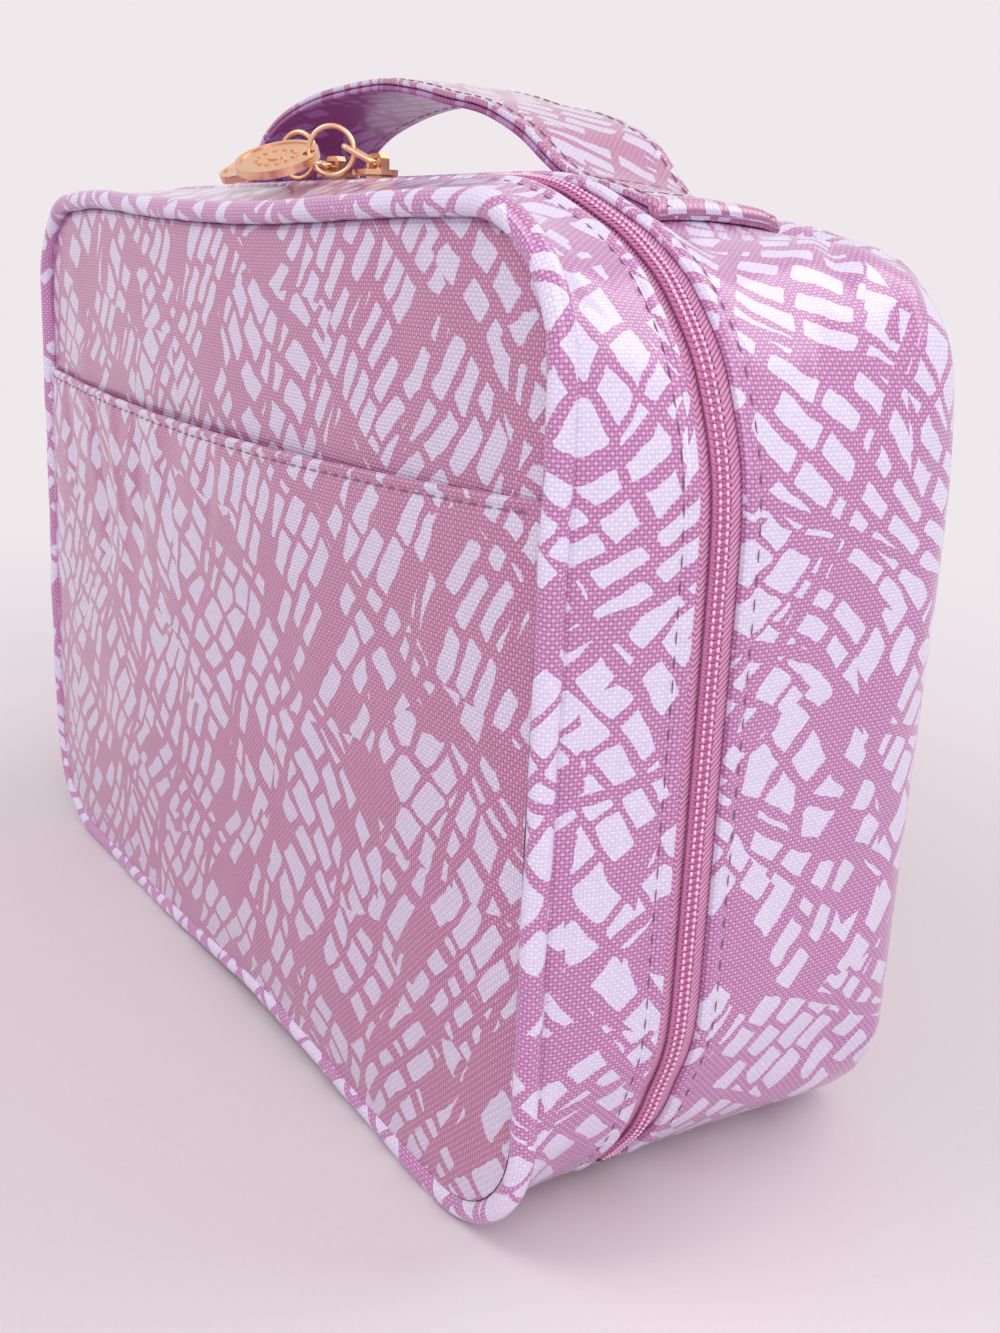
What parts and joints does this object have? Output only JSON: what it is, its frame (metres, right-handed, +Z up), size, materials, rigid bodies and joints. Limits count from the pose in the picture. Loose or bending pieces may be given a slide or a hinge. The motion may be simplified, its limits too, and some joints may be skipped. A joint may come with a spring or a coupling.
{
  "type": "soft-sided makeup case with zip and handle",
  "caption": "Upright zip-round makeup case in pink printed laminated fabric, with a front slip pocket, piped edges, a flat top strap handle and gold zip pulls with round charms.",
  "frame": {"origin": "centre of the case's footprint, on the table", "axes": "+X to the right along the width, -Y out of the front panel, +Z up"},
  "size_m": [0.292, 0.1064, 0.2358],
  "materials": {
    "printed_fabric": "woven pink cloth printed with pale lavender blocks under clear gloss laminate",
    "piping_fabric": "the same laminated cloth wrapped round a cord",
    "handle_fabric": "the same laminated cloth, doubled",
    "handle_lining": "dark mauve laminated cloth",
    "lining": "smooth satin-weave polyester",
    "binding_tape": "ribbed binding tape",
    "mesh": "open polyester mesh",
    "foam": "matt closed-cell foam",
    "filler_cord": "plain cotton cord",
    "zip_tape": "herringbone polyester tape",
    "zip_coil": "moulded nylon coil",
    "clear_vinyl": "clear flexible vinyl",
    "board": "matt stiffening board",
    "nickel": "bright stamped metal",
    "gold": "polished warm gold plate"
  },
  "bodies": {
    "rear_case": {"rear_panel": "printed_fabric", "rear_panel_foam": "foam", "rear_gusset": "printed_fabric", "rear_gusset_foam": "foam", "rear_lining": "lining", "rear_piping": "piping_fabric", "rear_piping_cord": "filler_cord", "rear_seam_binding": "binding_tape", "base_board": "board", "mesh_pocket": "mesh", "mesh_pocket_band": "binding_tape", "rear_zip_tape": "zip_tape", "rear_zip_coil": "zip_coil", "rear_zip_stops": "nickel", "hinge_strip": "zip_tape", "handle_top": "handle_fabric", "handle_under": "handle_lining", "handle_backing": "board"},
    "front_cover": {"front_panel": "printed_fabric", "front_panel_foam": "foam", "front_gusset": "printed_fabric", "front_gusset_foam": "foam", "front_lining": "lining", "front_piping": "piping_fabric", "front_piping_cord": "filler_cord", "front_seam_binding": "binding_tape", "front_pocket": "printed_fabric", "front_pocket_lining": "lining", "front_zip_tape": "zip_tape", "front_zip_coil": "zip_coil", "front_zip_stops": "nickel", "clear_pocket": "clear_vinyl", "clear_pocket_binding": "binding_tape"},
    "slider_left": {"slider_left": "gold"},
    "slider_right": {"slider_right": "gold"},
    "pull_left": {"pull_loop_left": "gold"},
    "pull_right": {"pull_loop_right": "gold"},
    "charm_left": {"jump_ring_left": "gold", "charm_left": "gold"},
    "charm_right": {"jump_ring_right": "gold", "charm_right": "gold"}
  },
  "joints": [
    {"name": "cover_hinge", "type": "hinge", "parent": "rear_case", "child": "front_cover", "pos_m": [0, -0.019, -0.00025], "axis": [1, 0, 0], "range_deg": [0, 175], "deforming": ["hinge_strip"]},
    {"name": "slide_left", "type": "slide", "parent": "rear_case", "child": "slider_left", "axis": [1, 0, 0], "range_m": [-0.085, 0]},
    {"name": "slide_right", "type": "slide", "parent": "rear_case", "child": "slider_right", "axis": [1, 0, 0], "range_m": [0, 0.062]},
    {"name": "pull_left_swing", "type": "hinge", "parent": "slider_left", "child": "pull_left", "pos_m": [-0.001, -0.019, 0.21061], "axis": [-0.4226, 0.9063, 0], "range_deg": [0, 55]},
    {"name": "pull_right_swing", "type": "hinge", "parent": "slider_right", "child": "pull_right", "pos_m": [0.02, -0.019, 0.21061], "axis": [-0.7431, 0.6691, 0], "range_deg": [0, 45]},
    {"name": "charm_left_swing", "type": "hinge", "parent": "pull_left", "child": "charm_left", "pos_m": [-0.00818, -0.02235, 0.21173], "axis": [-0.4226, 0.9063, 0], "range_deg": [0, 25]},
    {"name": "charm_right_swing", "type": "hinge", "parent": "pull_right", "child": "charm_right", "pos_m": [0.01515, -0.02439, 0.21399], "axis": [-0.7431, 0.6691, 0], "range_deg": [0, 25]}
  ]
}
